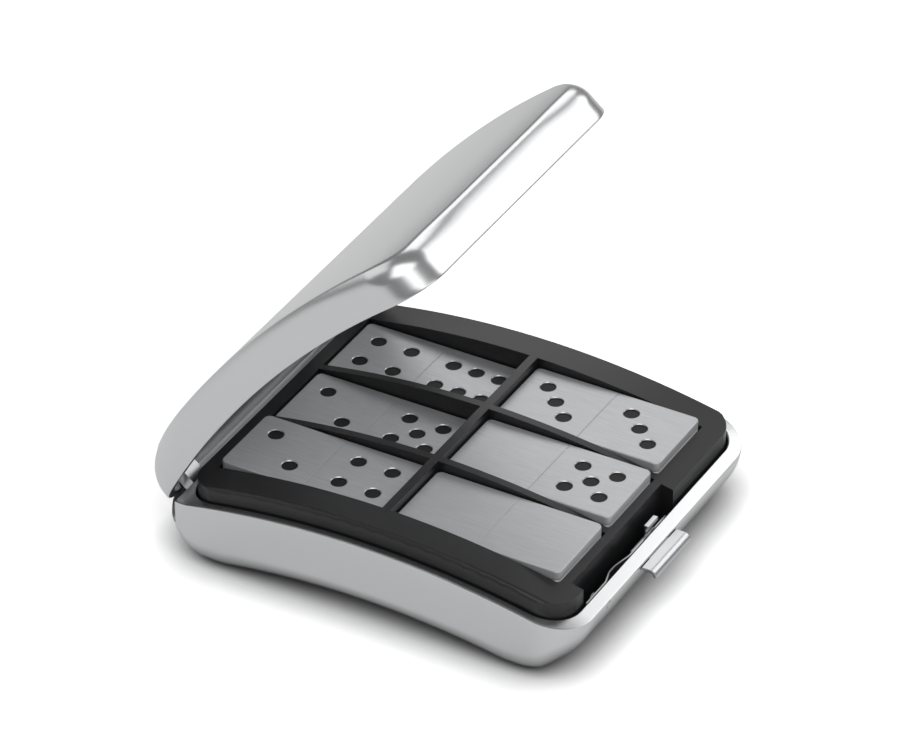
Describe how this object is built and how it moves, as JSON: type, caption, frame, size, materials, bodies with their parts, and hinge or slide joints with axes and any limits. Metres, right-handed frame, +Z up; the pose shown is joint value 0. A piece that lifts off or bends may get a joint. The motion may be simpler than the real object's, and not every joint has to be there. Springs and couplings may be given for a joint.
{
  "type": "domino storage box",
  "caption": "Curved pocket case of polished metal with a hinged lid, a sprung thumb catch and a black tray of six wells that hold metal dominoes.",
  "frame": {"origin": "on the table, under the middle of the open box in plan", "axes": "+X along the hinge, from the near side to the far side, +Y from the catch to the hinge, +Z up"},
  "size_m": [0.0808, 0.1038, 0.0892],
  "materials": {
    "case_chrome": "polished, with a soft bright reflection",
    "hinge_steel": "satin",
    "domino_metal": "brushed lengthwise, with dark sunk pips",
    "tray_black": "moulded, matt"
  },
  "bodies": {
    "base": {"base_shell": "case_chrome", "tray": "tray_black", "hinge_leaf": "hinge_steel", "hinge_rivets": "hinge_steel", "latch_spring": "hinge_steel", "spring_rivet": "hinge_steel"},
    "lid": {"lid_shell": "case_chrome", "lid_lug_near": "hinge_steel", "lid_lug_far": "hinge_steel", "hinge_pin": "hinge_steel", "lid_keeper": "hinge_steel"},
    "latch": {"latch_lever": "case_chrome"},
    "tile_2_2": {"domino_2_2": "domino_metal"},
    "tile_5_6": {"domino_5_6": "domino_metal"},
    "tile_1_1": {"domino_1_1": "domino_metal"},
    "tile_0_3": {"domino_0_3": "domino_metal"},
    "tile_2_4": {"domino_2_4": "domino_metal"},
    "tile_6_6": {"domino_6_6": "domino_metal"},
    "tile_3_4": {"domino_3_4": "domino_metal"},
    "tile_0_1": {"domino_0_1": "domino_metal"},
    "tile_2_5": {"domino_2_5": "domino_metal"},
    "tile_4_5": {"domino_4_5": "domino_metal"},
    "tile_0_2": {"domino_0_2": "domino_metal"},
    "tile_1_3": {"domino_1_3": "domino_metal"},
    "tile_4_6": {"domino_4_6": "domino_metal"},
    "tile_4_4": {"domino_4_4": "domino_metal"},
    "tile_2_6": {"domino_2_6": "domino_metal"},
    "tile_1_5": {"domino_1_5": "domino_metal"},
    "tile_3_6": {"domino_3_6": "domino_metal"},
    "tile_0_0": {"domino_0_0": "domino_metal"},
    "tile_5_5": {"domino_5_5": "domino_metal"},
    "tile_0_4": {"domino_0_4": "domino_metal"},
    "tile_2_3": {"domino_2_3": "domino_metal"},
    "tile_1_6": {"domino_1_6": "domino_metal"},
    "tile_0_5": {"domino_0_5": "domino_metal"},
    "tile_1_2": {"domino_1_2": "domino_metal"},
    "tile_3_5": {"domino_3_5": "domino_metal"},
    "tile_0_6": {"domino_0_6": "domino_metal"},
    "tile_1_4": {"domino_1_4": "domino_metal"},
    "tile_3_3": {"domino_3_3": "domino_metal"}
  },
  "joints": [
    {"name": "lid_hinge", "type": "hinge", "parent": "base", "child": "lid", "pos_m": [0, 0.0453, 0.01294], "axis": [-1, 0, 0], "range_deg": [-49.85, 38.15]},
    {"name": "latch_press", "type": "slide", "parent": "base", "child": "latch", "axis": [0, 1, 0], "range_m": [0, 0.001], "stiffness_N_per_m": 2500, "springref_m": -0.0006, "deforming": ["latch_spring"]},
    {"name": "lift_2_2", "type": "slide", "parent": "base", "child": "tile_2_2", "axis": [0, 0, 1], "range_m": [0, 0.01]},
    {"name": "lift_5_6", "type": "slide", "parent": "tile_2_2", "child": "tile_5_6", "axis": [0, 0, 1], "range_m": [0, 0.01]},
    {"name": "lift_1_1", "type": "slide", "parent": "tile_5_6", "child": "tile_1_1", "axis": [0, 0, 1], "range_m": [0, 0.01]},
    {"name": "lift_0_3", "type": "slide", "parent": "tile_1_1", "child": "tile_0_3", "axis": [0, 0, 1], "range_m": [0, 0.01]},
    {"name": "lift_2_4", "type": "slide", "parent": "tile_0_3", "child": "tile_2_4", "axis": [0, 0, 1], "range_m": [0, 0.01]},
    {"name": "lift_6_6", "type": "slide", "parent": "base", "child": "tile_6_6", "axis": [0, 0, 1], "range_m": [0, 0.01]},
    {"name": "lift_3_4", "type": "slide", "parent": "tile_6_6", "child": "tile_3_4", "axis": [0, 0, 1], "range_m": [0, 0.01]},
    {"name": "lift_0_1", "type": "slide", "parent": "tile_3_4", "child": "tile_0_1", "axis": [0, 0, 1], "range_m": [0, 0.01]},
    {"name": "lift_2_5", "type": "slide", "parent": "tile_0_1", "child": "tile_2_5", "axis": [0, 0, 1], "range_m": [0, 0.01]},
    {"name": "lift_4_5", "type": "slide", "parent": "base", "child": "tile_4_5", "axis": [0, 0, 1], "range_m": [0, 0.01]},
    {"name": "lift_0_2", "type": "slide", "parent": "tile_4_5", "child": "tile_0_2", "axis": [0, 0, 1], "range_m": [0, 0.01]},
    {"name": "lift_1_3", "type": "slide", "parent": "tile_0_2", "child": "tile_1_3", "axis": [0, 0, 1], "range_m": [0, 0.01]},
    {"name": "lift_4_6", "type": "slide", "parent": "tile_1_3", "child": "tile_4_6", "axis": [0, 0, 1], "range_m": [0, 0.01]},
    {"name": "lift_4_4", "type": "slide", "parent": "base", "child": "tile_4_4", "axis": [0, 0, 1], "range_m": [0, 0.014]},
    {"name": "lift_2_6", "type": "slide", "parent": "tile_4_4", "child": "tile_2_6", "axis": [0, 0, 1], "range_m": [0, 0.014]},
    {"name": "lift_1_5", "type": "slide", "parent": "tile_2_6", "child": "tile_1_5", "axis": [0, 0, 1], "range_m": [0, 0.014]},
    {"name": "lift_3_6", "type": "slide", "parent": "tile_1_5", "child": "tile_3_6", "axis": [0, 0, 1], "range_m": [0, 0.014]},
    {"name": "lift_0_0", "type": "slide", "parent": "tile_3_6", "child": "tile_0_0", "axis": [0, 0, 1], "range_m": [0, 0.014]},
    {"name": "lift_5_5", "type": "slide", "parent": "base", "child": "tile_5_5", "axis": [0, 0, 1], "range_m": [0, 0.014]},
    {"name": "lift_0_4", "type": "slide", "parent": "tile_5_5", "child": "tile_0_4", "axis": [0, 0, 1], "range_m": [0, 0.014]},
    {"name": "lift_2_3", "type": "slide", "parent": "tile_0_4", "child": "tile_2_3", "axis": [0, 0, 1], "range_m": [0, 0.014]},
    {"name": "lift_1_6", "type": "slide", "parent": "tile_2_3", "child": "tile_1_6", "axis": [0, 0, 1], "range_m": [0, 0.014]},
    {"name": "lift_0_5", "type": "slide", "parent": "tile_1_6", "child": "tile_0_5", "axis": [0, 0, 1], "range_m": [0, 0.014]},
    {"name": "lift_1_2", "type": "slide", "parent": "base", "child": "tile_1_2", "axis": [0, 0, 1], "range_m": [0, 0.014]},
    {"name": "lift_3_5", "type": "slide", "parent": "tile_1_2", "child": "tile_3_5", "axis": [0, 0, 1], "range_m": [0, 0.014]},
    {"name": "lift_0_6", "type": "slide", "parent": "tile_3_5", "child": "tile_0_6", "axis": [0, 0, 1], "range_m": [0, 0.014]},
    {"name": "lift_1_4", "type": "slide", "parent": "tile_0_6", "child": "tile_1_4", "axis": [0, 0, 1], "range_m": [0, 0.014]},
    {"name": "lift_3_3", "type": "slide", "parent": "tile_1_4", "child": "tile_3_3", "axis": [0, 0, 1], "range_m": [0, 0.014]}
  ]
}
